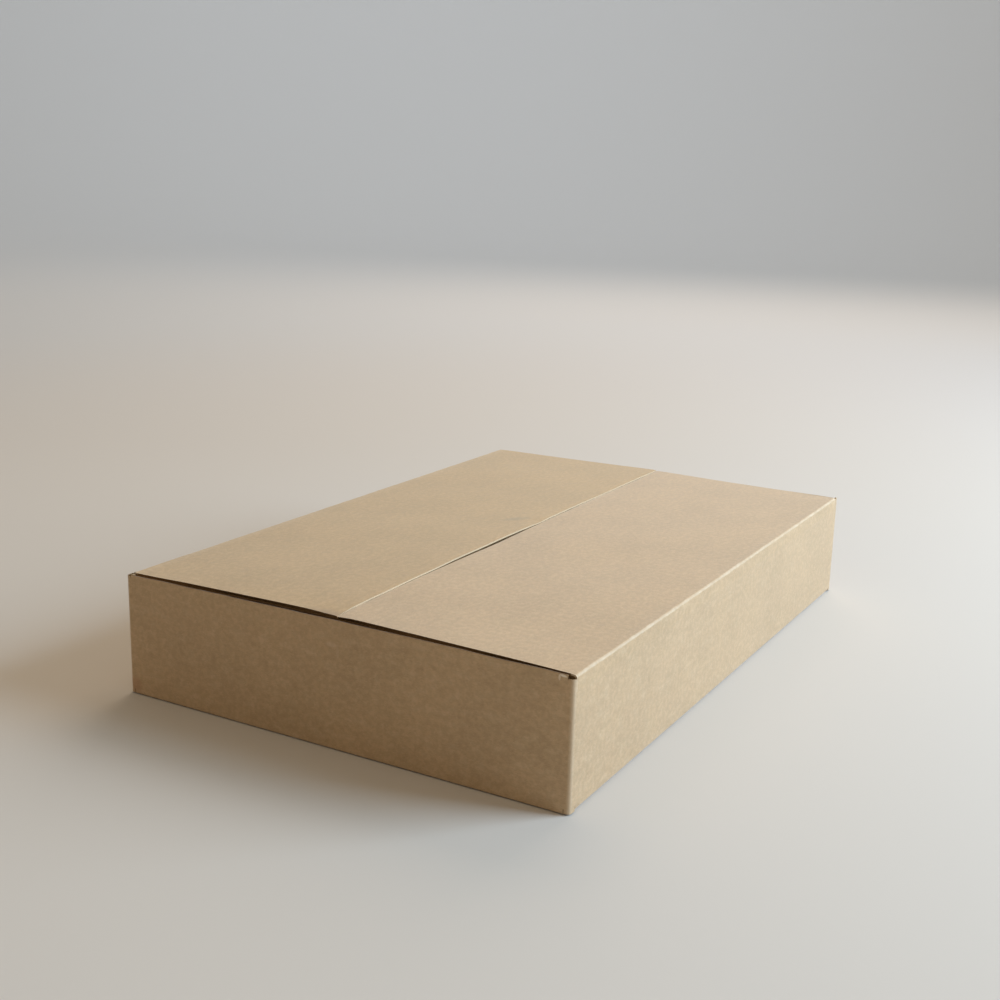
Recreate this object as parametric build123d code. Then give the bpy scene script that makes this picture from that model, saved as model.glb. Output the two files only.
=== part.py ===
from build123d import *
import os

# Shallow regular slotted carton, set up and closed, standing on its bottom.
# X runs across the short end, Y along the long side walls, Z up.
# The origin is the middle of the footprint, on the surface the carton stands on.

# ---- driving dimensions, mm ----
width = 200.0            # outer width, across the end panels (X)
length = 300.0           # outer length, along the side walls (Y)
height = 50.0            # floor to the top crease of the side walls (Z)
board = 1.5              # thickness of the single-wall corrugated board

wall_corner_r = 2.0      # outer radius of the vertical folds
wall_corner_in_r = 0.5   # inner radius of the vertical folds
fold_r = 1.6             # outer radius of the side walls' bottom folds
ridge_r = 0.5            # outer radius of the end panels' top and bottom folds
crease_r = 1.2           # outer radius of a top side flap at its crease

major_inset = 4.0        # each end of a side flap stops this far short of the end panel's face
far_inset = 2.0          # but the left flap's back end and the right flap's front end only this far
minor_inset = 2.6        # each edge of an end flap stops this far short of the side wall's face
minor_depth = 100.0      # how far the end flaps reach in, half the carton's width

slot_top = 48.0          # where the corner slots end, below the top
slot_bottom = 0.3        # where the corner slots end, above the floor
wall_top = 48.4          # top of the side walls, just below the side flaps' undersides
minor_top = 48.2         # top face of the folded-in end flaps
ridge_top = 50.3         # crown of an end panel's top fold, which stands proud of its flap
ridge_low = 0.2          # lowest line of an end panel's bottom fold
ridge_in = 0.6           # the folds' crowns reach in this far from the end panel's face
dip_top = 1.7            # a top end flap is down to its level this far in
dip_low = 1.5            # a bottom end flap is up to its level this far in

seam_x = 0.8             # the two top side flaps meet a little right of the middle
seam_gap = 0.8           # gap between their free edges
bottom_gap = 0.6         # gap between the two bottom side flaps
tilt_left = 1.5          # degrees by which the left flap springs up from flat
tilt_right = 1.15        # degrees by which the right flap springs up from flat

tab_depth = 35.0         # glue tab inside the left wall at the back corner
tab_low = 5.0
tab_high = 45.0
tab_taper = 8.0
cut_edge_back = 0.4      # the left wall's raw edge stops this far short of the back face

hx = width / 2
hy = length / 2

# ---- the four walls, between the ends of the corner slots ----
outer = Rectangle(width, length)
round_corners = [v for v in outer.vertices() if not (v.X < 0 and v.Y > 0)]
outer = fillet(round_corners, wall_corner_r)
inner = Rectangle(width - 2 * board, length - 2 * board)
inner = fillet([v for v in inner.vertices() if not (v.X < 0 and v.Y > 0)], wall_corner_in_r)
walls_plan = outer - inner

# back left corner: the end panel turns in under the raw edge of the left wall
fold_cx = -hx + board + fold_r
fold_cy = hy - fold_r
nick = Pos((-hx + board + fold_cx) / 2, (fold_cy + hy) / 2) * Rectangle(fold_r, fold_r)
nick = nick - Pos(fold_cx, fold_cy) * Circle(fold_r)
raw_edge = Pos(-hx + board / 2, hy - cut_edge_back / 2) * Rectangle(board, cut_edge_back)
walls_plan = walls_plan - nick - raw_edge

walls = Pos(0, 0, slot_bottom) * extrude(walls_plan, amount=slot_top - slot_bottom)

# ---- end panels with their top and bottom end flaps, folded in at both ends ----
# section of an end, as distance in from the panel's face and height: each fold stands as a
# narrow pinched ridge, and the flap behind it dips to lie under (or over) the side flaps
face_line = [(minor_depth, minor_top), (dip_top, minor_top), (ridge_in, ridge_top),
             (0, ridge_top), (0, ridge_low), (ridge_in, ridge_low), (dip_low, board),
             (minor_depth, board)]
back_line = [(minor_depth, 2 * board), (board, 2 * board), (board, minor_top - board),
             (minor_depth, minor_top - board)]
end_section = make_face(Polyline(*face_line, *back_line, close=True))
for u, w, r in ((0, ridge_top, ridge_r), (0, ridge_low, ridge_r),
                (dip_top, minor_top, 0.3), (dip_low, board, 0.3)):
    end_section = fillet([v for v in end_section.vertices()
                          if abs(v.X - u) < 1e-4 and abs(v.Y - w) < 1e-4], r)
end_plane = Plane(origin=(0, -hy, 0), x_dir=(0, 1, 0), z_dir=(1, 0, 0))
front_end = extrude(end_plane * end_section, amount=hx - minor_inset, both=True)
back_end = mirror(front_end, about=Plane.XZ)

# ---- side walls with the bottom side flaps, which meet in the middle ----
l_wall = Pos(hx - board / 2, wall_top / 2) * Rectangle(board, wall_top)
l_flap = Pos((hx + bottom_gap / 2) / 2, board / 2) * Rectangle(hx - bottom_gap / 2, board)
l_profile = l_wall + l_flap
l_corner = [v for v in l_profile.vertices() if v.X > hx - 0.01 and v.Y < 0.01]
l_profile = fillet(l_corner, fold_r)
right_side = extrude(Plane.XZ * l_profile, amount=hy - major_inset, both=True)
left_side = mirror(right_side, about=Plane.YZ)

# ---- glue tab, on the back panel's end, glued inside the left wall ----
tab_y1 = hy - board
tab_y0 = tab_y1 - tab_depth
tab_face = make_face(Polyline(
    (tab_y1, tab_low), (tab_y0 + tab_taper, tab_low), (tab_y0, tab_low + tab_taper),
    (tab_y0, tab_high - tab_taper), (tab_y0 + tab_taper, tab_high), (tab_y1, tab_high),
    close=True))
tab_plane = Plane(origin=(-hx + board, 0, 0), x_dir=(0, 1, 0), z_dir=(1, 0, 0))
glue_tab = extrude(tab_plane * tab_face, amount=board)

carton_body = walls + front_end + back_end + right_side + left_side + glue_tab
carton_body = carton_body.clean()


# ---- top side flaps, each on the crease along its side wall ----
def side_flap(reach, tilt, front, back):
    # drawn with the crease's outer corner at the origin, the flap running towards -X
    profile = Pos(-reach / 2, -board / 2) * Rectangle(reach, board)
    at_crease = [v for v in profile.vertices() if v.X > -0.01 and v.Y > -0.01]
    profile = fillet(at_crease, crease_r)
    slab = Pos(0, front, 0) * extrude(Plane.XZ * profile, amount=front - back)
    # a turn about Y lifts the free edge
    return Rot(0, tilt, 0) * slab


right_reach = hx - seam_x - seam_gap / 2
left_reach = hx + seam_x - seam_gap / 2
right_flap = side_flap(right_reach, tilt_right, far_inset - hy, hy - major_inset)
left_flap = side_flap(left_reach, tilt_left, major_inset - hy, hy - far_inset)
top_flap_right = Pos(hx, 0, height) * right_flap
top_flap_left = Pos(-hx, 0, height) * mirror(left_flap, about=Plane.YZ)

parts = {
    "carton_body": carton_body,
    "top_flap_left": top_flap_left,
    "top_flap_right": top_flap_right,
}

os.makedirs("parts", exist_ok=True)
for name, shape in parts.items():
    export_step(shape, "parts/" + name + ".step")
    box = shape.bounding_box()
    print(name, "solids", len(shape.solids()), "volume mm3", round(shape.volume, 1),
          "from", [round(c, 3) for c in (box.min.X, box.min.Y, box.min.Z)],
          "to", [round(c, 3) for c in (box.max.X, box.max.Y, box.max.Z)])
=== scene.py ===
import math
import bpy
import numpy as np
from mathutils import Matrix, Vector


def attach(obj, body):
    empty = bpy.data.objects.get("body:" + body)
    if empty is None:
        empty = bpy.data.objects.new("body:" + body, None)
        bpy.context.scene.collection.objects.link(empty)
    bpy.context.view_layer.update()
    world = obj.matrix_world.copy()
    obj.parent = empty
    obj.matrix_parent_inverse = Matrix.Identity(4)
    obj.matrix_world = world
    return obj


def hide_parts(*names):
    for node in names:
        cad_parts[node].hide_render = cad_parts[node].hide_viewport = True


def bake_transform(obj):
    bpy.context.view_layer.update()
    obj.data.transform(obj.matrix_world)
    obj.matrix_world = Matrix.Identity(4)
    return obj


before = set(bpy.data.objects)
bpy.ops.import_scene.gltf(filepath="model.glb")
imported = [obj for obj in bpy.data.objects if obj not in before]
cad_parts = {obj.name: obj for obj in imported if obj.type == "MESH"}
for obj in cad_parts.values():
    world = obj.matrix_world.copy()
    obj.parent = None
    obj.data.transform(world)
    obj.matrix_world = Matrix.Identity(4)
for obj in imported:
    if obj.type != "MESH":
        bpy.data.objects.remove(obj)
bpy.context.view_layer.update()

MM = 0.001
PI = math.pi

# ------------------------------------------------------------------ sizes, mm
HX, HY = 100.0, 150.0     # half the width and half the length of the carton
T = 1.5                   # board
LINER = 0.27              # one liner
PITCH = 3.3               # flute pitch
LIPS = (0.86, 1.3)       # a crushed free edge's groove lies between these depths of the board
FLUTE_DEPTH = 0.8         # how far in the flutes are seen from an open edge
RC = 1.6                  # outer radius of the vertical folds
RT = 1.6                  # outer radius of the glue tab's fold
Y_RAW = 149.6             # where the left wall's raw edge ends
Y_SLOT = 146.0            # a side flap's ends
Y_FAR = 148.0             # but the left flap's back end and the right flap's front end run out to here
X_SLOT = 97.4             # an end flap's edges
X_BACK = -96.3            # and where the back panel's flaps end beside the glue tab's fold
Z_LOW, Z_HIGH = 2.0, 48.0  # between these heights the walls are plain
Z_CORNER = 0.35           # the corner folds' bottom edge
Z_SPLIT = 44.0            # a side flap's piece starts here on its side wall
TAB = 34.9

# The blank is one sheet. s runs round the walls, from the left wall's raw edge, along the left
# wall, the front, the right wall and the back to the glue tab. r runs up the sheet, through the
# folds into the top flaps, and down into the bottom flaps. n is the depth below the outer face.
ARC_C = RC * PI / 2
ARC_T = RT * PI / 2
S_L1 = Y_RAW + HY - RC
S_F0 = S_L1 + ARC_C
S_F1 = S_F0 + 2 * (HX - RC)
S_R0 = S_F1 + ARC_C
S_R1 = S_R0 + 2 * (HY - RC)
S_B0 = S_R1 + ARC_C
S_B1 = S_B0 + (HX - RC) + (HX - T - RT)
S_T0 = S_B1 + ARC_T
S_T1 = S_T0 + TAB


def s_left(y):
    return Y_RAW - np.asarray(y, float)


def s_front(x):
    return S_F0 + np.asarray(x, float) + HX - RC


def s_right(y):
    return S_R0 + np.asarray(y, float) + HY - RC


def s_back(x):
    return S_B0 + HX - RC - np.asarray(x, float)


def smooth(t):
    t = np.clip(t, 0, 1)
    return t * t * (3 - 2 * t)


def waves(u, v, seed, size, n=7):
    """A smooth uneven field between about -1 and 1, the same each run. size is its scale in mm."""
    rng = np.random.default_rng(seed)
    out = np.zeros(np.broadcast(u, v).shape)
    for _ in range(n):
        a = rng.uniform(0, 2 * PI)
        k = 2 * PI / (size * rng.uniform(0.7, 1.8))
        out = out + np.cos(k * (math.cos(a) * u + math.sin(a) * v) + rng.uniform(0, 2 * PI))
    return out / math.sqrt(n * 1.6)


# --------------------------------------------------------- sections of the folds
def arc(cx, cz, r, a0, a1, n):
    a = np.radians(np.linspace(a0, a1, n + 1))
    return np.stack([cx + r * np.cos(a), cz + r * np.sin(a)], 1)


def resample(line, n):
    line = np.asarray(line, float)
    length = np.concatenate([[0], np.cumsum(np.hypot(*np.diff(line, axis=0).T))])
    at = np.linspace(0, length[-1], n + 1)
    return np.stack([np.interp(at, length, line[:, 0]), np.interp(at, length, line[:, 1])], 1)


def section(outer, inner, counts, start, sign):
    """Joins matching stretches of the outer and inner faces. Returns r, outer (d, z), inner (d, z)."""
    o, i = [np.asarray(outer[0][:1], float)], [np.asarray(inner[0][:1], float)]
    for a, b, n in zip(outer, inner, counts):
        if isinstance(n, int):
            o.append(resample(a, n)[1:])
            i.append(resample(b, n)[1:])
        else:                       # a straight stretch with its own divisions, as shares
            a, b = np.asarray(a, float), np.asarray(b, float)
            for f in n:
                o.append((a[0] + (a[-1] - a[0]) * f)[None])
                i.append((b[0] + (b[-1] - b[0]) * f)[None])
    o, i = np.concatenate(o), np.concatenate(i)
    r = start + sign * np.concatenate([[0], np.cumsum(np.hypot(*np.diff(o, axis=0).T))])
    return r, o, i


def flap_shares(length, step, last):
    """Divisions of a flap's flat stretch: even, then one narrow strip before the cut edge."""
    body = length - last
    n = max(2, int(round(body / step)))
    return [*(np.linspace(0, body, n + 1)[1:] / length), 1.0]


def end_section(crown, level, reach, up):
    """An end panel's fold: a narrow pinched ridge, then the flap drops to its level. up is 1 or -1."""
    rise = abs(crown - level)
    a = math.radians(62)
    r1, r3 = 0.24, 0.4
    p1 = (r1 + r1 * math.sin(a), rise - r1 + r1 * math.cos(a))
    drop = p1[1] - r3 * (1 - math.cos(a))
    p2 = (p1[0] + drop / math.tan(a), p1[1] - drop)
    p3 = (p2[0] + r3 * math.sin(a), 0.0)
    start = (Z_HIGH - level) if up > 0 else -(Z_LOW - level)
    outer = [
        [(0, start), (0, rise - r1)],
        arc(r1, rise - r1, r1, 180, 90 - 62, 10),
        [p1, p2],
        arc(p3[0], r3, r3, 270 - 62, 270, 6),
        [p3, (p3[0] + 1.2, 0)],
        [(p3[0] + 1.2, 0), (reach, 0)],
    ]
    corner = start + 0.12
    inner = [
        [(T, start), (T, corner - 0.03)],
        [(T, corner - 0.03), (T + 0.02, corner)],
        [(T + 0.02, corner), (T + 0.12, corner - 0.04)],
        [(T + 0.12, corner - 0.04), (p3[0], -0.75)],
        [(p3[0], -0.75), (p3[0] + 0.9, -T + 0.06), (p3[0] + 1.2, -T)],
        [(p3[0] + 1.2, -T), (reach, -T)],
    ]
    counts = [2, 8, 3, 4, 3, flap_shares(reach - p3[0] - 1.2, 4.2, 3.3)]
    r, o, i = section(outer, inner, counts, Z_HIGH if up > 0 else Z_LOW, up)
    # r is the length along the outer face, so the wall's line and this one share their start
    o[:, 1] = level + (o[:, 1] if up > 0 else -o[:, 1])
    i[:, 1] = level + (i[:, 1] if up > 0 else -i[:, 1])
    return r, o, i


REACH_L = HX + 0.35       # the left flap's free edge, from its wall's face
REACH_R = HX - 0.75
REACH_END = 100.0
CREASE_R = 1.15


def side_top(reach):
    outer = [[(0, Z_SPLIT), (0, 45), (0, 46), (0, 47), (0, 48)], [(0, 48), (0, 50 - CREASE_R)],
             arc(CREASE_R, 50 - CREASE_R, CREASE_R, 180, 90, 14), [(CREASE_R, 50), (reach, 50)]]
    inner = [[(T, Z_SPLIT), (T, 48)], [(T, 48), (T, 48.12)],
             [(T, 48.12), (T + 0.06, 48.36), (T + 0.3, 48.5), (CREASE_R + 1.3, 50 - T)],
             [(CREASE_R + 1.3, 50 - T), (reach, 50 - T)]]
    flat = reach - CREASE_R
    shares = [1.2 / flat, 2.6 / flat, 4.5 / flat, 7 / flat]
    shares += list(np.linspace(10, flat - 18, 21) / flat)
    shares += [(flat - x) / flat for x in (15, 12, 9, 6.2, 3.4, 1.7, 0.9, 0.35)] + [1.0]
    return section(outer, inner, [4, 1, 12, shares], Z_SPLIT, 1)


def side_low():
    outer = [[(0, Z_LOW), (0, 1.6)], arc(1.6, 1.6, 1.6, 180, 270, 8), [(1.6, 0), (HX - 0.3, 0)]]
    inner = [[(T, Z_LOW), (T, 1.8)], [(T, 1.8), (T + 0.06, 1.6), (T + 0.3, T), (2.1, T)],
             [(2.1, T), (HX - 0.3, T)]]
    return section(outer, inner, [1, 8, flap_shares(HX - 1.9, 4.5, 2.6)], Z_LOW, -1)


SECTIONS = {
    "end_top": end_section(50.15, 48.15, REACH_END, 1),
    "end_low": end_section(0.2, 1.53, REACH_END, -1),
    "left_top": side_top(REACH_L),
    "right_top": side_top(REACH_R),
    "side_low": side_low(),
}
TIP = {k: v[0][-1] for k, v in SECTIONS.items()}


def through(name, r, n):
    """(d, z) at r along the fold's section and depth n."""
    rr, o, i = SECTIONS[name]
    order = np.argsort(rr)
    f = n / T
    out = []
    for c in (0, 1):
        a = np.interp(r, rr[order], o[order, c])
        b = np.interp(r, rr[order], i[order, c])
        out.append(a + (b - a) * f)
    return out


# ------------------------------------------------- how the flaps and panels have settled
# heights of the two flaps' free edges over the flat lid, along the seam
LIFT_Y = [-146, -138, -125, -105, -63, -32, 0, 40, 80, 125, 146]
LIFT_L = [1.0, 1.5, 1.95, 2.3, 2.55, 2.3, 2.15, 2.05, 1.8, 1.65, 1.45]
LIFT_R = [1.2, 1.22, 1.35, 1.62, 1.62, 1.3, 1.4, 1.45, 1.2, 1.1, 1.0]
# the gap between them
GAP_Y = [-146, -120, -85, -65, -30, -8, 4, 9, 14, 22, 45, 100, 146]
GAP_W = [0.3, 0.14, 0.22, 0.72, 0.95, 0.8, 0.3, 0.08, 0.08, 0.35, 0.45, 0.35, 0.4]


def at(y, ys, vs):
    y = np.asarray(y, float)
    dy = 5.0
    return sum(np.interp(y + k * dy, ys, vs) * w for k, w in ((-1, 0.25), (0, 0.5), (1, 0.25)))


def seam_x(y):
    return 0.62 - 0.45 * y / 146 + 0.06 * np.sin(y / 17.0) + 0.04 * np.sin(y / 6.1 + 1)


def lid(side, y, d, z, n, reach):
    """Where a point of a side flap has settled. side is -1 for the left flap, 1 for the right."""
    t = np.clip(d / reach, 0, 1)
    if side < 0:
        lift = at(y, LIFT_Y, LIFT_L)
        # at its front end this flap rises early and then runs level, with a crushed corner
        front = smooth((-y - 96) / 50)
        shape = (1 - front) * t ** 0.93 + front * np.sin(np.clip(t * 1.55, 0, PI / 2)) * 1.0
        z = z - 0.28 * smooth((-y - 118) / 26) * (1 - smooth((t - 0.1) / 0.2)) * smooth(d / 2.5)
    else:
        lift = at(y, LIFT_Y, LIFT_R)
        # this one bellies up at its front end
        front = smooth((-y - 112) / 34)
        shape = t ** (1.06 - 0.5 * front)
    z = z + lift * shape * smooth(d / 2.5)
    # its front corner at the seam hangs over a little
    wide, deep = (13, 7) if side < 0 else (5, 5)
    u, v = np.clip(1 - (reach - d) / wide, 0, 1), np.clip(1 - (y + (146 if side < 0 else 148)) / deep, 0, 1)
    z = z - (0.12 if side < 0 else 0.2) * smooth(u * 1.6) * v ** 2
    # long shallow unevenness of the sheet
    z = z + 0.10 * waves(y, d, 11 + side, 70) * smooth(d / 12)
    return z


def crush(side, y, d, reach):
    """Share of the board's thickness left where the front seam corners are crushed."""
    u, v = (reach - d) / (15 if side < 0 else 9), (y + 146) / (11 if side < 0 else 8)
    m = np.clip(1 - np.hypot(np.clip(u, 0, None), np.clip(v, 0, None)), 0, 1)
    mid = np.clip(1 - np.hypot(np.clip((reach - d) / 7, 0, None), (y - 10) / 9), 0, 1)
    return 1 - (0.16 if side < 0 else 0.12) * smooth(m) - (0.3 if side < 0 else 0.15) * smooth(mid)


def place(s, r, n):
    """The blank folded up: points of the sheet as positions, mm."""
    s, r, n = (np.asarray(v, float) for v in np.broadcast_arrays(s, r, n))
    x, y = np.zeros(s.shape), np.zeros(s.shape)
    ix, iy = np.zeros(s.shape), np.zeros(s.shape)    # the way in, off the outer face

    def flat(m, px, py, nx, ny):
        x[m], y[m], ix[m], iy[m] = px, py, nx, ny

    def bend(m, cx, cy, rad, t, a0):
        a = a0 + t * PI / 2
        x[m], y[m] = cx + rad * np.cos(a), cy + rad * np.sin(a)
        ix[m], iy[m] = -np.cos(a), -np.sin(a)

    left, front = s <= S_L1, (s > S_F0 - 1e-9) & (s <= S_F1 + 1e-9)
    right, back = (s > S_R0 - 1e-9) & (s <= S_R1 + 1e-9), (s > S_B0 - 1e-9) & (s <= S_B1 + 1e-9)
    tab = s > S_T0
    m = left; flat(m, -HX, Y_RAW - s[m], 1, 0)
    m = (s > S_L1) & ~front & (s < S_F0); bend(m, -HX + RC, -HY + RC, RC, (s[m] - S_L1) / ARC_C, PI)
    m = front; flat(m, -HX + RC + s[m] - S_F0, -HY, 0, 1)
    m = (s > S_F1 + 1e-9) & ~right & (s < S_R0); bend(m, HX - RC, -HY + RC, RC, (s[m] - S_F1) / ARC_C, 1.5 * PI)
    m = right; flat(m, HX, -HY + RC + s[m] - S_R0, -1, 0)
    m = (s > S_R1 + 1e-9) & ~back & (s < S_B0); bend(m, HX - RC, HY - RC, RC, (s[m] - S_R1) / ARC_C, 0)
    m = back; flat(m, HX - RC - (s[m] - S_B0), HY, 0, -1)
    m = (s > S_B1 + 1e-9) & (s <= S_T0); bend(m, -HX + T + RT, HY - RT, RT, (s[m] - S_B1) / ARC_T, PI / 2)
    m = tab; flat(m, -HX + T + 0.02, HY - RT - (s[m] - S_T0), 1, 0)

    d, z = n.copy(), r.copy()
    end, side = front | back, left | right
    on_end = (front & (np.abs(x) < X_SLOT + 0.05)) | (back & (x < X_SLOT + 0.05) & (x > X_BACK - 0.05))
    on_side = side & (np.abs(y) < Y_SLOT + 0.05)
    for m, name in ((end & (r > Z_HIGH), "end_top"), (on_end & (r < Z_LOW), "end_low"),
                    (on_side & (r < Z_LOW), "side_low")):
        d[m], z[m] = through(name, r[m], n[m])

    # the tab tapers towards its end
    m = tab
    share = 1 - 0.4 * np.clip((s[m] - S_T1 + 8) / 8, 0, 1)
    z[m] = 25 + (r[m] - 25) * share

    # top side flaps
    on_left, on_right = left & (r > Z_HIGH), right & (r > Z_HIGH)
    for m, name, sg, reach in ((on_left, "left_top", -1, REACH_L), (on_right, "right_top", 1, REACH_R)):
        if not m.any():
            continue
        ym = y[m]
        base_d = through(name, r[m], 0 * n[m])[0]
        c = crush(sg, ym, base_d, reach)
        nn = T - (T - n[m]) * c
        # the knife that cut the free edge pinched the board along it
        pinch = 0.22 * (1 - smooth((reach - base_d) / 1.7))
        nn = 0.55 * T + (nn - 0.55 * T) * (1 - pinch)
        dm, zm = through(name, r[m], nn)
        zm = lid(sg, ym, base_d, zm, nn, reach)
        # the free edges leave an uneven gap
        gap, sx = at(ym, GAP_Y, GAP_W), seam_x(ym)
        edge = (sx - gap / 2 + HX) if sg < 0 else (HX - sx - gap / 2)
        edge = edge + 0.05 * waves(ym, 0 * ym, 40 + sg, 9)
        dm = dm + (edge - reach) * smooth((base_d - reach + 25) / 25)
        # the crease isn't quite even along its length
        k = np.exp(-((base_d - 0.6) / 1.0) ** 2) * (base_d < 4)
        w = 0.05 * waves(ym, 0 * ym, 50 + sg, 18) + 0.02 * waves(ym, 0 * ym, 60 + sg, 5)
        d[m], z[m] = dm + k * w, zm - k * w
        # the far end is cut a little askew: it runs out to the fold at the crease only
        slant = 1.9 * np.clip(base_d / reach, 0, 1) ** 0.9 * smooth(base_d / 4) * smooth((-sg * ym - 140) / 8)
        y[m] = ym + sg * slant

    # end panels: the ridge bows up a little in the middle, and the flap behind it less
    m = end & (r > 40)
    a = np.where(front[m], x[m], -x[m])
    bow = 0.42 * np.clip(1 - (a / 97) ** 2, 0, 1) + 0.10 * waves(a, 0 * a, 21, 30) * smooth((97 - np.abs(a)) / 20)
    bow = np.where(front[m], bow, bow * 0.3 - 0.45 - 0.4 * smooth(-a / 60))
    fade = 1 - 0.85 * smooth((d[m] - 3) / 40)
    z[m] = z[m] + bow * smooth((z[m] - 40) / 8) * fade * (r[m] > 40)
    m = end & (r > Z_HIGH)
    w = 0.06 * waves(x[m], 0 * x[m], 23, 9)
    z[m] = z[m] + w * np.exp(-((d[m] - 0.6) / 0.7) ** 2)

    # three corner folds stand up into their slots
    for s0, s1, rise in ((s_left(-146.1), s_front(-97.5), 1.55), (s_front(97.5), S_R0 - 0.01, 0.8),
                         (s_right(146.1), s_back(97.5), 1.5)):
        m = (s > s0) & (s < s1) & (r > 46)
        z[m] = z[m] + rise * smooth((r[m] - 46) / 2)

    # walls: a faint bulge, none at the folds
    wall = (r >= Z_LOW) & (r <= 50)
    up = smooth((r - Z_LOW) / 14) * smooth((Z_HIGH - 2 - r) / 14)
    for m, u, half, seed, amp in ((left & wall, y, 146, 31, 0.30), (right & wall, y, 146, 32, 0.30),
                                  (front & wall, x, 96, 33, 0.25), (back & wall, x, 94, 34, 0.25)):
        k = amp * smooth((half - np.abs(u[m])) / 30) * up[m]
        d[m] = d[m] - k * (0.35 + 0.5 * waves(u[m], r[m], seed, 60))

    return np.stack([x + ix * d, y + iy * d, z], -1)


# ------------------------------------------------------------------- mesh building
class Sheet:
    """Part of the blank as a closed skin, with its cut edges open between the liners."""

    def __init__(self, name, groove, free=None):
        self.name, self.groove, self.free = name, groove, free
        self.at, self.sr, self.cells = {}, [], []
        self.extra = []

    def point(self, s, r):
        k = (round(float(s), 3), round(float(r), 3))
        if k not in self.at:
            self.at[k] = len(self.sr)
            self.sr.append((float(s), float(r)))
        return self.at[k]

    def patch(self, ss, rs):
        ss, rs = sorted(map(float, ss)), sorted(map(float, rs))
        ids = [[self.point(s, r) for r in rs] for s in ss]
        for i in range(len(ss) - 1):
            for j in range(len(rs) - 1):
                self.cells.append((ids[i][j], ids[i + 1][j], ids[i + 1][j + 1], ids[i][j + 1]))

    def ribbon(self, s0, s1, tip, sign, phase):
        """The fluting seen in an open edge: one closed wavy strip between the liners."""
        n = int((s1 - s0) / PITCH * 12)
        e = np.linspace(s0 + 0.5, s1 - 0.5, n)
        n0, n1 = LIPS if self.free is not None else (LINER, T - LINER)
        amp = (n1 - n0 - 0.17 - 0.05) / 2
        w = 2 * PI * (e / PITCH + 0.04 * np.sin(e / 23.0)) + phase
        mid = (n0 + n1) / 2 + amp * np.cos(w)
        half = 0.085 * np.sqrt(1 + (2 * PI / PITCH * amp * np.sin(w)) ** 2)
        out = tip - sign * (0.06 + 0.05 * (1 + np.sin(e * 0.7)))
        inn = np.full(n, tip - sign * (FLUTE_DEPTH - 0.1))
        cols = np.stack([np.stack([e, out, mid - half]), np.stack([e, out, mid + half]),
                         np.stack([e, inn, mid + half]), np.stack([e, inn, mid - half])])  # 4,3,n
        pts = cols.transpose(2, 0, 1).reshape(-1, 3)
        faces = []
        for i in range(n - 1):
            a, b = 4 * i, 4 * (i + 1)
            for k in range(4):
                q = (a + k, b + k, b + (k + 1) % 4, a + (k + 1) % 4)
                faces.append(q if sign > 0 else q[::-1])
        last = 4 * (n - 1)
        caps = [(0, 1, 2, 3), (last + 3, last + 2, last + 1, last)]
        faces += caps if sign > 0 else [c[::-1] for c in caps]
        self.extra.append((pts, faces))

    def build(self):
        sr = np.array(self.sr)
        n = len(sr)
        edges = {}
        for c in self.cells:
            for k in range(4):
                edges[(c[k], c[(k + 1) % 4])] = True
        border = [e for e in edges if (e[1], e[0]) not in edges]
        move = {}
        for a, b in border:
            ds, dr = sr[b] - sr[a]
            way = (-np.sign(round(dr, 6)), np.sign(round(ds, 6)))     # in, off the cut edge
            mid = (sr[a] + sr[b]) / 2
            for v in (a, b):
                m = move.setdefault(v, [0.0, 0.0])
                for axis in (0, 1):
                    if way[axis]:
                        depth = self.groove(sr[v], mid, axis)
                        if abs(m[axis]) < 1e-9 or abs(m[axis]) > depth:
                            m[axis] = way[axis] * depth
        rim = sorted(move)
        index = {v: i for i, v in enumerate(rim)}
        rs = sr[rim]
        inset = rs + np.array([move[v] for v in rim])
        m = len(rim)
        # a free edge is crushed, so its groove lies low between thick lips
        lip = np.full((m, 2), (LINER, T - LINER))
        if self.free is not None:
            lip[np.abs(rs[:, 1] - self.free) < 0.01] = LIPS
        param = [np.column_stack([sr, np.zeros(n)]), np.column_stack([sr, np.full(n, T)]),
                 np.column_stack([rs, lip[:, 0]]), np.column_stack([inset, lip[:, 0]]),
                 np.column_stack([inset, lip[:, 1]]), np.column_stack([rs, lip[:, 1]])]
        base = [2 * n + k * m for k in range(4)]
        faces, kind = [], []
        for c in self.cells:
            faces.append(c); kind.append(0)
            faces.append(tuple(n + v for v in reversed(c))); kind.append(1)
        for a, b in border:
            i, j = index[a], index[b]
            ring_a = [a] + [g + i for g in base] + [n + a]
            ring_b = [b] + [g + j for g in base] + [n + b]
            for k in range(5):
                faces.append((ring_b[k], ring_a[k], ring_a[k + 1], ring_b[k + 1])); kind.append(2)
        param = np.concatenate(param)
        for pts, fs in self.extra:
            off = len(param)
            param = np.concatenate([param, pts])
            faces += [tuple(off + v for v in f) for f in fs]
            kind += [2] * len(fs)
        co = place(param[:, 0], param[:, 1], param[:, 2]) * MM
        mesh = bpy.data.meshes.new(self.name)
        mesh.from_pydata(co.tolist(), [], faces)
        mesh.polygons.foreach_set("material_index", kind)
        mesh.polygons.foreach_set("use_smooth", [True] * len(faces))
        mesh.set_sharp_from_angle(angle=math.radians(33))
        sheet = mesh.attributes.new("sheet", "FLOAT_VECTOR", "POINT")
        sheet.data.foreach_set("vector", param.astype(np.float32).ravel())
        mesh.validate()
        mesh.update()
        obj = bpy.data.objects.new(self.name, mesh)
        bpy.context.scene.collection.objects.link(obj)
        return obj, param


# grid lines of the blank
YS = [146, 144, *np.linspace(141, -141, 71), -144, -146]
XS = [-X_SLOT, -95.5, -92.5, *np.linspace(-89, 89, 45), 92.5, 95.5, X_SLOT]
ROWS = [Z_LOW, 3.4, 5, *np.linspace(8.5, 41, 11), Z_SPLIT, 45, 46, 47, Z_HIGH]
ARC8 = np.linspace(0, 1, 9)

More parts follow.
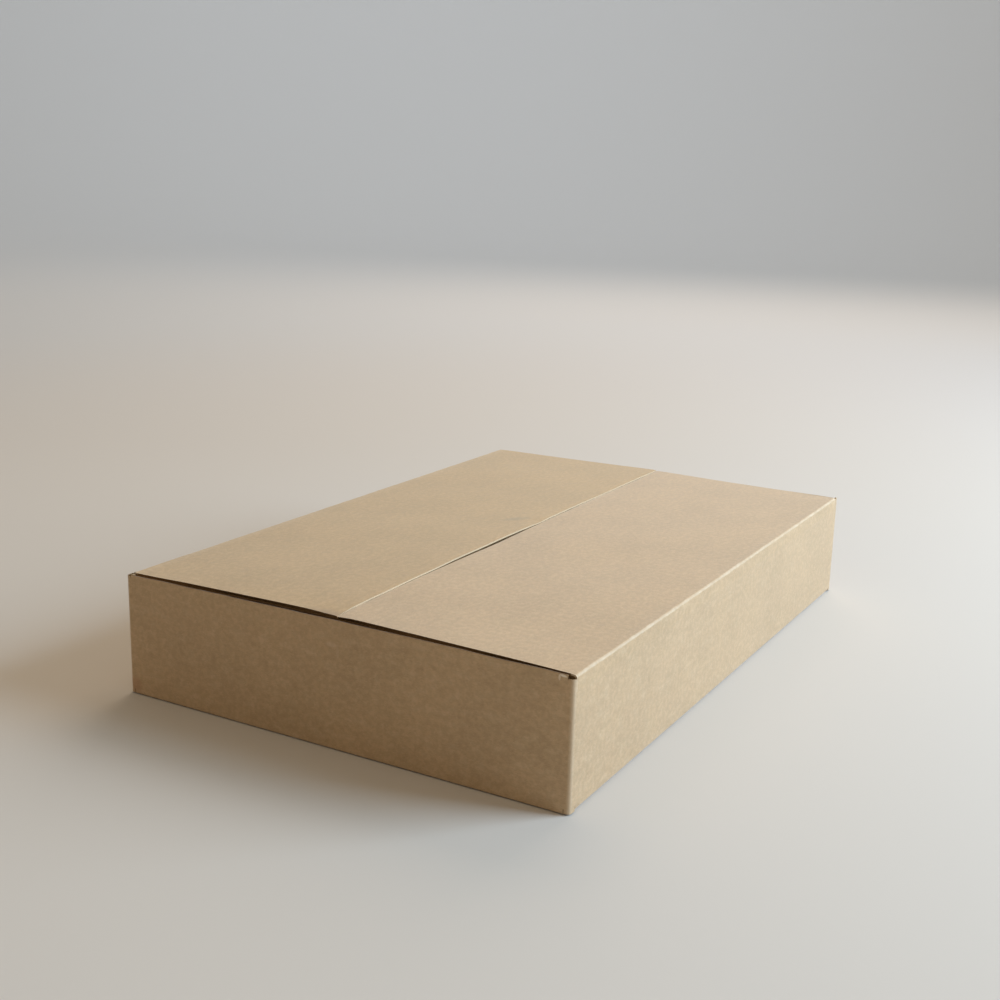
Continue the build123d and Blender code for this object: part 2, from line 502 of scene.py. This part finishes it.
left_all = [*s_left([149.6, Y_FAR, 146.2]), *s_left(YS), s_left(-146.2), S_L1]
front_all = [S_F0, s_front(-97.6), *s_front(XS), s_front(97.6), S_F1]
right_all = [S_R0, s_right(-146.2), *s_right(YS), s_right(146.2), S_R1]
XB = [x for x in XS if x > -96]
back_all = [S_B0, s_back(97.6), *s_back(XB), s_back(X_BACK), s_back(-96.5), S_B1]
tab_lines = [S_T0, *(S_T0 + np.array([1.6, 4, 8, 13, 18, 23, 26.9, 29.5, 32, TAB - 1.6, TAB]))]
left_flap_lines = [*s_left([Y_FAR, 146.2]), *s_left(YS)]
right_flap_lines = [S_R0, s_right(-146.2), *s_right(YS)]


def body_groove(v, mid, axis):
    s, r = v
    ms, mr = mid
    on_side = ms < S_L1 or S_R0 - 0.01 < ms < S_R1
    if mr < Z_LOW and r < Z_LOW + 0.01 and mr > Z_CORNER - 0.01 and not on_side:
        return 0.12
    if axis == 0:                                   # a cut along the flutes
        wander = 0.85 + 0.4 * math.sin(r * 0.11 + ms) + 0.15 * math.sin(r * 0.53)
        if on_side and mr > Z_SPLIT and ms > 1:
            return 0.02
        if abs(s) < 0.01:
            return 0.9
        if ms > S_B1:
            return 0.5 if ms < S_T0 + 1 else 0.9
        return min(1.3, max(0.35, wander))
    if on_side and abs(mr - Z_SPLIT) < 0.01:
        return 0.02
    if mr > Z_HIGH + 5 or (mr < Z_LOW - 5 and not on_side):
        return FLUTE_DEPTH
    if mr < Z_LOW - 5:
        return 1.6
    return 0.45


def flap_groove(v, mid, axis):
    s, r = v
    ms, mr = mid
    if axis == 0:
        if mr < 52.5:                               # the crease itself is pressed shut
            return 0.02
        deep = min(1.3, max(0.35, 0.8 + 0.45 * math.sin(r * 0.07 + ms) + 0.15 * math.sin(r * 0.41)))
        return deep * min(1.0, 0.2 + (mr - 52.5) / 10)
    if abs(mr - Z_SPLIT) < 0.01:
        return 0.02
    at_end = min(abs(s - e) for e in (*s_left([Y_FAR, -146]), S_R0, s_right(146))) < 0.01
    return 0.3 if at_end else FLUTE_DEPTH


body = Sheet("carton_skin", body_groove)
top_rows = list(SECTIONS["end_top"][0])
low_rows = list(SECTIONS["end_low"][0])
side_rows = list(SECTIONS["side_low"][0])
low_wall = [r for r in ROWS if r <= Z_SPLIT]
high_wall = [r for r in ROWS if r >= Z_SPLIT]
low_corner = [Z_CORNER, 1.1, Z_LOW]
body.patch(left_all, low_wall)
body.patch(S_L1 + ARC_C * ARC8, low_corner + ROWS[1:])
body.patch(front_all, ROWS)
body.patch(S_F1 + ARC_C * ARC8, low_corner + ROWS[1:])
body.patch(right_all, low_wall)
body.patch(S_R1 + ARC_C * ARC8, low_corner + ROWS[1:])
body.patch(back_all, ROWS)
body.patch(S_B1 + ARC_T * ARC8, low_corner + ROWS[1:])
for lines in ((s_left(149.6), s_left(Y_FAR)), (s_left(-146), s_left(-146.2), S_L1),
              (s_right(146), s_right(146.2), S_R1)):       # the walls' corners, beside the slots
    body.patch(lines, high_wall)
for lines in (s_left([149.6, Y_FAR, 146.2]), (s_left(-146.2), S_L1), (S_F0, s_front(-97.6)),
              (s_front(97.6), S_F1), (S_R0, s_right(-146.2)), (s_right(146.2), S_R1),
              (S_B0, s_back(97.6)), (s_back(-96.5), S_B1)):
    body.patch(lines, low_corner)
body.patch(tab_lines, [r for r in ROWS if 5 <= r <= 45])
for lines in (s_front(XS), s_back([*XB, X_BACK])):
    body.patch(lines, top_rows)
    body.patch(lines, low_rows)
for lines in (s_left(YS), s_right(YS)):
    body.patch(lines, side_rows)
for k, lines in enumerate((s_front(XS), s_back([*XB, X_BACK]))):
    s0, s1 = min(lines) + 1.4, max(lines) - 1.4
    body.ribbon(s0, s1, TIP["end_top"], 1, 0.7 + k)
    body.ribbon(s0, s1, TIP["end_low"], -1, 1.9 + k)

left = Sheet("left_flap_skin", flap_groove, TIP["left_top"])
left.patch(left_flap_lines, SECTIONS["left_top"][0])
left.ribbon(s_left(145) + 1.4, s_left(-146) - 1.4, TIP["left_top"], 1, 0.4)
right = Sheet("right_flap_skin", flap_groove, TIP["right_top"])
right.patch(right_flap_lines, SECTIONS["right_top"][0])
right.ribbon(s_right(-145) + 1.4, s_right(146) - 1.4, TIP["right_top"], 1, 2.2)


# ------------------------------------------------------------------------ materials
def node(tree, kind, **values):
    n = tree.nodes.new(kind)
    for k, v in values.items():
        if hasattr(n, k) and not k[0].isupper():
            setattr(n, k, v)
    return n


class Maker:
    """Small helpers for writing a node tree."""

    def __init__(self, name):
        self.m = bpy.data.materials.new(name)
        self.m.use_nodes = True
        self.t = self.m.node_tree
        self.t.nodes.clear()

    def put(self, sock, v):
        if isinstance(v, bpy.types.NodeSocket):
            self.t.links.new(v, sock)
        elif v is not None:
            sock.default_value = v

    def attr(self, name):
        n = self.t.nodes.new("ShaderNodeAttribute")
        n.attribute_name = name
        return n

    def scale(self, vec, by, shift=(0, 0, 0)):
        n = self.t.nodes.new("ShaderNodeMapping")
        self.put(n.inputs["Vector"], vec)
        n.inputs["Scale"].default_value = by
        n.inputs["Location"].default_value = shift
        return n.outputs[0]

    def noise(self, vec, scale, detail=2.0, rough=0.5, distortion=0.0):
        n = self.t.nodes.new("ShaderNodeTexNoise")
        self.put(n.inputs["Vector"], vec)
        n.inputs["Scale"].default_value = scale
        n.inputs["Detail"].default_value = detail
        n.inputs["Roughness"].default_value = rough
        n.inputs["Distortion"].default_value = distortion
        return n.outputs["Fac"]

    def ramp(self, fac, a, b, lo=0.0, hi=1.0):
        n = self.t.nodes.new("ShaderNodeMapRange")
        n.interpolation_type = "SMOOTHSTEP"
        self.put(n.inputs["Value"], fac)
        n.inputs["From Min"].default_value = a
        n.inputs["From Max"].default_value = b
        n.inputs["To Min"].default_value = lo
        n.inputs["To Max"].default_value = hi
        return n.outputs[0]

    def math(self, op, a, b=None, c=None):
        n = self.t.nodes.new("ShaderNodeMath")
        n.operation = op
        self.put(n.inputs[0], a)
        self.put(n.inputs[1], b)
        if c is not None:
            self.put(n.inputs[2], c)
        return n.outputs[0]

    def mix(self, fac, a, b, kind="MIX"):
        n = self.t.nodes.new("ShaderNodeMix")
        n.data_type = "RGBA"
        n.blend_type = kind
        self.put(n.inputs[0], fac)
        self.put(n.inputs[6], (*a, 1) if isinstance(a, tuple) else a)
        self.put(n.inputs[7], (*b, 1) if isinstance(b, tuple) else b)
        return n.outputs[2]

    def blob(self, vec, centre, size, soft=0.5, turn=0.0):
        """1 inside an ellipse of the sheet, 0 outside it."""
        n = self.t.nodes.new("ShaderNodeVectorMath")
        n.operation = "SUBTRACT"
        self.put(n.inputs[0], vec)
        n.inputs[1].default_value = centre
        p = self.t.nodes.new("ShaderNodeMapping")
        p.vector_type = "POINT"
        self.put(p.inputs["Vector"], n.outputs[0])
        p.inputs["Rotation"].default_value = (0, 0, turn)
        q = self.scale(p.outputs[0], (1 / size[0], 1 / size[1], 1 / size[2]))
        ln = self.t.nodes.new("ShaderNodeVectorMath")
        ln.operation = "LENGTH"
        self.put(ln.inputs[0], q)
        return self.ramp(ln.outputs["Value"], 1.0, 1.0 - soft)


KRAFT = (0.53, 0.352, 0.188)
KRAFT_LIGHT = (0.64, 0.465, 0.285)
KRAFT_DARK = (0.405, 0.253, 0.124)
# pale colour for rubbed marks and for the painted highlights on the crease and the back crest
KRAFT_WEAR_AND_HIGHLIGHT = (0.74, 0.585, 0.41)
KRAFT_CUT = (0.70, 0.53, 0.345)
# painted shade: the cut edges' dark fluting colour
KRAFT_CUT_SHADE = (0.20, 0.115, 0.045)


def times(c, k):
    return tuple(min(1.0, v * k) for v in c)


def times3(k, col, by):
    return k.mix(1.0, col, (by, by, by), "MULTIPLY")


def kraft(name, inner=False, crease=None, folds=(), ends=(), marks=(), painted_light_tint=None, shade=None,
          sheen=(0.93, 0.96, 1.0)):
    """Brown liner paper. crease is the r of a crease painted lighter, partly as wear and partly as a painted
    highlight, folds are the s of the worn corner folds, ends are the s of rubbed cut ends, the tint is painted
    light and shade, the lighter or darker cast a flap's paper takes on beyond the crease, and shade is the r above
    which a pinched fold's crest is painted dark at the front as painted shade and painted pale at the back as a
    painted highlight."""
    k = Maker(name)
    sheet = k.attr("sheet").outputs["Vector"]
    # fibres lie along s, the way the paper ran; n keeps the two liners apart
    grain = k.scale(sheet, (1.0, 1.0, 30.0))
    along = k.scale(sheet, (0.62, 1.0, 30.0))
    cloud = k.noise(grain, 0.028, 3, 0.6)
    mottle = k.noise(along, 0.26, 4, 0.68)
    patchy = k.noise(k.scale(sheet, (0.8, 1.0, 30.0), (5, 90, 0)), 0.085, 3, 0.6)
    fibre = k.noise(k.scale(sheet, (1.1, 3.6, 30.0)), 0.8, 3, 0.6, 0.5)
    speck = k.noise(k.scale(sheet, (1.3, 2.0, 30.0), (31, 7, 0)), 1.5, 2, 0.5)
    grit = k.noise(k.scale(sheet, (0.85, 1.0, 30.0), (11, 53, 0)), 0.5, 2, 0.6)
    sx = k.t.nodes.new("ShaderNodeSeparateXYZ")
    k.put(sx.inputs[0], sheet)
    s_at, r_at = sx.outputs[0], sx.outputs[1]
    col = k.mix(k.ramp(cloud, 0.33, 0.67), times(KRAFT, 0.955), times(KRAFT, 1.045))
    col = k.mix(k.ramp(patchy, 0.42, 0.66, 0.0, 0.13), col, (0.61, 0.395, 0.22))
    col = k.mix(k.ramp(patchy, 0.47, 0.30, 0.0, 0.13), col, (0.45, 0.315, 0.16))
    col = k.mix(k.ramp(mottle, 0.46, 0.68, 0.0, 0.34), col, KRAFT_LIGHT)
    col = k.mix(k.ramp(mottle, 0.46, 0.28, 0.0, 0.34), col, KRAFT_DARK)
    col = k.mix(k.ramp(grit, 0.40, 0.64), k.mix(1.0, col, (0.945, 0.94, 0.93), "MULTIPLY"), times3(k, col, 1.06))
    col = k.mix(k.ramp(fibre, 0.53, 0.75, 0.0, 0.6), col, KRAFT_LIGHT)
    col = k.mix(k.ramp(fibre, 0.46, 0.26, 0.0, 0.55), col, KRAFT_DARK)
    col = k.mix(k.ramp(speck, 0.69, 0.80, 0.0, 0.45), col, (0.26, 0.15, 0.07))
    col = k.mix(k.ramp(speck, 0.31, 0.22, 0.0, 0.35), col, KRAFT_WEAR_AND_HIGHLIGHT)
    if inner:
        col = k.mix(1.0, col, (0.97, 0.955, 0.93), "MULTIPLY")
    if painted_light_tint is not None:
        # painted light and shade: beyond the crease the flap's paper is made darker or lighter by the tint
        col = k.mix(k.ramp(r_at, 50.5, 56.0), col, k.mix(1.0, col, painted_light_tint, "MULTIPLY"))
    wear = k.noise(k.scale(sheet, (0.35, 0.9, 30.0), (3, 40, 0)), 0.5, 3, 0.65)
    wear_and_highlight = None
    if crease is not None:
        # partly wear and partly a painted highlight: the crease's rounded edge is painted lighter along its length
        off = k.math("ABSOLUTE", k.math("SUBTRACT", r_at, crease))
        line = k.ramp(k.math("ADD", off, k.math("MULTIPLY", wear, 0.6)), 1.15, 0.55)
        wear_and_highlight = k.math("MULTIPLY", line, k.ramp(wear, 0.25, 0.62, 0.8, 0.4))
    for f in folds:
        off = k.math("ABSOLUTE", k.math("SUBTRACT", s_at, f))
        line = k.ramp(k.math("ADD", off, k.math("MULTIPLY", wear, 0.9)), 2.0, 0.8, 0.0, 0.42)
        wear_and_highlight = line if wear_and_highlight is None else k.math("MAXIMUM", wear_and_highlight, line)
    if wear_and_highlight is not None:
        col = k.mix(wear_and_highlight, col, KRAFT_WEAR_AND_HIGHLIGHT)
    for e in ends:
        off = k.math("ABSOLUTE", k.math("SUBTRACT", s_at, e))
        line = k.ramp(k.math("ADD", off, k.math("MULTIPLY", wear, 0.9)), 1.1, 0.4, 0.0, 0.5)
        col = k.mix(line, col, KRAFT_WEAR_AND_HIGHLIGHT)
    if shade is not None:
        # painted shade and painted highlight: the pinched crest is darkened at the front, where shade falls under
        # the flaps' ends, and painted pale at the back
        painted_crest = k.math("MULTIPLY", k.ramp(r_at, shade - 0.25, shade + 0.15), k.ramp(r_at, shade + 4.5, shade + 2.0))
        back_crest_painted_light = k.math("MULTIPLY", painted_crest, k.math("GREATER_THAN", s_at, float(S_R0)))
        painted_crest = k.math("MULTIPLY", painted_crest, k.math("LESS_THAN", s_at, float(S_R0)))
        col = k.mix(painted_crest, col, k.mix(1.0, col, (0.5, 0.44, 0.38), "MULTIPLY"))
        col = k.mix(k.math("MULTIPLY", back_crest_painted_light, k.ramp(wear, 0.3, 0.6, 0.95, 0.7)), col, KRAFT_WEAR_AND_HIGHLIGHT)
    for centre, size, soft, turn, colour, share in marks:
        spot = k.blob(sheet, centre, size, soft, turn)
        spot = k.math("MULTIPLY", spot, k.ramp(wear, 0.25, 0.6, share * 0.6, share))
        col = k.mix(spot, col, colour)
    bsdf = k.t.nodes.new("ShaderNodeBsdfPrincipled")
    k.put(bsdf.inputs["Base Color"], col)
    k.put(bsdf.inputs["Roughness"], k.ramp(mottle, 0.3, 0.7, 0.56, 0.72))
    bsdf.inputs["Specular IOR Level"].default_value = 0.5
    bsdf.inputs["Sheen Weight"].default_value = 0.35
    bsdf.inputs["Sheen Roughness"].default_value = 0.45
    bsdf.inputs["Sheen Tint"].default_value = (*sheen, 1)
    # the flutes show faintly through the liner as a washboard, with fine fibre relief on it
    drift = k.noise(k.scale(sheet, (0.02, 0.2, 30.0)), 1.0, 1, 0.5)
    phase = k.math("ADD", k.math("MULTIPLY", s_at, 2 * PI / PITCH), k.math("MULTIPLY", drift, 3.0))
    board = k.math("MULTIPLY", k.math("SINE", phase), 0.006)
    relief = k.math("ADD", board, k.math("MULTIPLY", fibre, 0.04))
    relief = k.math("ADD", relief, k.math("MULTIPLY", mottle, 0.022))
    bump = k.t.nodes.new("ShaderNodeBump")
    bump.inputs["Strength"].default_value = 0.75
    bump.inputs["Distance"].default_value = 0.001
    k.put(bump.inputs["Height"], relief)
    k.put(bsdf.inputs["Normal"], bump.outputs[0])
    out = k.t.nodes.new("ShaderNodeOutputMaterial")
    k.put(out.inputs[0], bsdf.outputs[0])
    return k.m


def cut_edge(name, tip, pressed=1.0, pale_span=None):
    """The board's cut edges: their dark fluting is painted shade for the flutes' depth, but paler where a knife
    crushed the free edge at r = tip, and paler along the top of a corner fold between the two s of the last
    argument."""
    k = Maker(name)
    sheet = k.attr("sheet").outputs["Vector"]
    rough = k.noise(k.scale(sheet, (1.6, 1.6, 3.0)), 1.3, 4, 0.65)
    fray = k.noise(k.scale(sheet, (5.0, 5.0, 8.0)), 1.1, 2, 0.5)
    sx = k.t.nodes.new("ShaderNodeSeparateXYZ")
    k.put(sx.inputs[0], sheet)
    free = k.math("MULTIPLY", k.ramp(sx.outputs[1], tip - 0.35, tip - 0.1), k.ramp(sx.outputs[2], 0.91, 0.87))
    # and where the crease was pressed shut at a flap's end
    free = k.math("MAXIMUM", free, k.math("MULTIPLY", k.math("MULTIPLY", k.ramp(sx.outputs[1], 52.0, 51.2), k.ramp(sx.outputs[2], 0.66, 0.5)), pressed))
    if pale_span is not None:
        # the top of one corner fold's cut edge is made pale here instead of dark
        here = k.math("MULTIPLY", k.math("GREATER_THAN", sx.outputs[0], pale_span[0]),
                      k.math("LESS_THAN", sx.outputs[0], pale_span[1]))
        free = k.math("MAXIMUM", free, k.math("MULTIPLY", here, k.math("GREATER_THAN", sx.outputs[1], 40.0)))
    # painted shade: the dark colour of the open flutes stands in for the shade in their depth
    dark = k.mix(k.ramp(rough, 0.35, 0.65), times(KRAFT_CUT_SHADE, 0.75), times(KRAFT_CUT_SHADE, 1.25))
    pale = k.mix(k.ramp(rough, 0.35, 0.65), times(KRAFT_CUT, 0.85), times(KRAFT_CUT, 1.15))
    pale = k.mix(k.ramp(fray, 0.58, 0.75, 0.0, 0.5), pale, KRAFT_WEAR_AND_HIGHLIGHT)
    col = k.mix(free, dark, pale)
    bsdf = k.t.nodes.new("ShaderNodeBsdfPrincipled")
    k.put(bsdf.inputs["Base Color"], col)
    k.put(bsdf.inputs["Roughness"], k.ramp(rough, 0.3, 0.7, 0.78, 0.92))
    bsdf.inputs["Specular IOR Level"].default_value = 0.3
    bump = k.t.nodes.new("ShaderNodeBump")
    bump.inputs["Strength"].default_value = 0.8
    bump.inputs["Distance"].default_value = 0.001
    k.put(bump.inputs["Height"], k.math("MULTIPLY", fray, 0.12))
    k.put(bsdf.inputs["Normal"], bump.outputs[0])
    out = k.t.nodes.new("ShaderNodeOutputMaterial")
    k.put(out.inputs[0], bsdf.outputs[0])
    return k.m


CORNERS = ((S_L1 + S_F0) / 2, (S_F1 + S_R0) / 2, (S_R1 + S_B0) / 2)
# soft wear: a rubbed patch by the front panel's top edge, a ruddy corner, a torn fleck by the slot
BODY_MARKS = (
    ((float(s_front(1.2)), 41.0, 0.0), (3.4, 1.3, 3.0), 0.6, 0.0, KRAFT_LIGHT, 0.65),
    ((float(s_front(4.0)), 38.5, 0.0), (0.9, 3.0, 3.0), 0.6, 0.0, KRAFT_LIGHT, 0.35),
    ((float(s_front(-97.0)), 4.0, 0.0), (5.0, 4.5, 3.0), 0.8, 0.0, (0.42, 0.20, 0.11), 0.55),
    ((float(s_front(95.7)), 49.5, 0.0), (1.8, 0.55, 3.0), 0.5, 0.12, (0.86, 0.72, 0.56), 1.0),
    ((float(s_front(94.3)), 48.6, 0.0), (0.55, 1.3, 3.0), 0.5, 0.0, (0.80, 0.65, 0.48), 0.9),
)
# a faint smudge on the left flap by the seam, about the middle, and soft greying at its crushed corner
LEFT_MARKS = (
    ((float(s_left(9.0)), 49.5 + 89.0, 0.0), (10.5, 4.2, 3.0), 0.8, 0.66, (0.30, 0.225, 0.14), 0.5),
    ((float(s_left(-145.5)), 49.5 + 96.0, 0.0), (5.0, 11.0, 3.0), 0.9, 0.0, (0.36, 0.235, 0.15), 0.6),
)
CREASE_AT = 50 - CREASE_R + CREASE_R * PI / 4
outside = kraft("kraft_outside", folds=CORNERS, marks=BODY_MARKS, shade=50.1)
# painted light and shade: the left flap's paper is tinted darker and yellower and the right one's lighter, as the
# light falls on them
outside_left = kraft("kraft_left_flap", crease=CREASE_AT, ends=[float(s_left(-146))], marks=LEFT_MARKS,
                     painted_light_tint=(0.955, 0.925, 0.86), sheen=(0.93, 0.88, 0.71))
outside_right = kraft("kraft_right_flap", crease=CREASE_AT, ends=[float(S_R0)], painted_light_tint=(1.02, 1.01, 0.975),
                      sheen=(0.97, 0.97, 0.93))
inside = kraft("kraft_inside", inner=True)
back_right = float(s_right(145.9)), float(s_back(97.2))
edges = {None: cut_edge("kraft_cut_edge", TIP["end_top"], 0.0, back_right),
         -1: cut_edge("kraft_left_edge", TIP["left_top"]), 1: cut_edge("kraft_right_edge", TIP["right_top"])}

for sheet, cad_node, how in ((body, "carton_body", None), (left, "top_flap_left", -1),
                             (right, "top_flap_right", 1)):
    obj, param = sheet.build()
    for m in ({None: outside, -1: outside_left, 1: outside_right}[how], inside, edges[how]):
        obj.data.materials.append(m)
    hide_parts(cad_node)
    if how is None:
        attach(obj, "carton")
    else:
        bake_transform(obj)

# ------------------------------------------------------------------ floor and light
def dish():
    """A pale floor that curves up all round, far from the object."""
    profile = [(0, 0), (0.25, 0), (0.6, 0), (1.5, 0), (2.6, 0)]
    profile += [(2.6 + 1.6 * math.sin(a), 1.6 - 1.6 * math.cos(a)) for a in np.linspace(0.12, PI / 2, 14)]
    profile += [(4.2, 2.4)]
    n = 96
    verts = [(0, 0, 0)]
    for r, z in profile[1:]:
        verts += [(r * math.cos(2 * PI * k / n), r * math.sin(2 * PI * k / n), z) for k in range(n)]
    faces = [(0, 1 + k, 1 + (k + 1) % n) for k in range(n)]
    for j in range(len(profile) - 2):
        a, b = 1 + j * n, 1 + (j + 1) * n
        faces += [(a + k, b + k, b + (k + 1) % n, a + (k + 1) % n) for k in range(n)]
    mesh = bpy.data.meshes.new("floor")
    mesh.from_pydata(verts, [], faces)
    mesh.polygons.foreach_set("use_smooth", [True] * len(faces))
    obj = bpy.data.objects.new("floor", mesh)
    bpy.context.scene.collection.objects.link(obj)
    k = Maker("pale_floor")
    bsdf = k.t.nodes.new("ShaderNodeBsdfPrincipled")
    place_at = k.t.nodes.new("ShaderNodeTexCoord")
    far = k.t.nodes.new("ShaderNodeVectorMath")
    far.operation = "LENGTH"
    k.put(far.inputs[0], place_at.outputs["Object"])
    k.put(bsdf.inputs["Base Color"], k.mix(k.ramp(far.outputs["Value"], 0.3, 1.3), (0.70, 0.65, 0.595), (0.63, 0.645, 0.67)))
    bsdf.inputs["Roughness"].default_value = 0.9
    bsdf.inputs["Specular IOR Level"].default_value = 0.1
    out = k.t.nodes.new("ShaderNodeOutputMaterial")
    k.put(out.inputs[0], bsdf.outputs[0])
    obj.data.materials.append(k.m)
    obj.location.z = -0.0002


dish()


def area(name, where, to, size, power, colour, size_y=None):
    d = bpy.data.lights.new(name, "AREA")
    d.energy, d.color = power, colour
    d.shape, d.size = ("RECTANGLE", size) if size_y else ("SQUARE", size)
    if size_y:
        d.size_y = size_y
    o = bpy.data.objects.new(name, d)
    bpy.context.scene.collection.objects.link(o)
    o.location = where
    o.rotation_mode = "QUATERNION"
    o.rotation_quaternion = (Vector(to) - Vector(where)).to_track_quat("-Z", "Y")
    o.visible_camera = False
    return o


area("key", (1.1, 0.5, 0.6), (0, 0, 0.03), 0.8, 26.1, (0.616, 0.807, 1.0))
area("behind", (-0.3, 1.4, 1.2), (0, 0, 0.03), 1.2, 10.4, (1.0, 0.817, 0.64))
area("backdrop", (-1.0, 1.8, 2.6), (-2.1, 3.9, 1.1), 2.4, 36, (0.88, 0.94, 1.0))

bpy.context.scene.view_settings.view_transform = "Standard"

world = bpy.data.worlds.new("studio")
bpy.context.scene.world = world
world.use_nodes = True
background = world.node_tree.nodes["Background"]
background.inputs[0].default_value = (1.0, 0.848, 0.624, 1)
background.inputs[1].default_value = 0.383

# ------------------------------------------------------------------------- camera
AZ, EL, ROLL = (math.radians(v) for v in (29.51, 14.033, 1.469))
back_way = Vector((math.sin(AZ) * math.cos(EL), -math.cos(AZ) * math.cos(EL), math.sin(EL)))
right_way = Vector((math.cos(AZ), math.sin(AZ), 0))
up_way = back_way.cross(right_way)
rx = right_way * math.cos(ROLL) + up_way * math.sin(ROLL)
ry = up_way * math.cos(ROLL) - right_way * math.sin(ROLL)
cam = bpy.data.cameras.new("camera")
cam.sensor_width, cam.lens = 36.0, 1346.05 * 36 / 1000
cam.clip_start, cam.clip_end = 0.01, 50
eye = bpy.data.objects.new("camera", cam)
bpy.context.scene.collection.objects.link(eye)
eye.matrix_world = Matrix((
    (rx.x, ry.x, back_way.x, 0.280723), (rx.y, ry.y, back_way.y, -0.522191),
    (rx.z, ry.z, back_way.z, 0.212141), (0, 0, 0, 1)))
bpy.context.scene.camera = eye
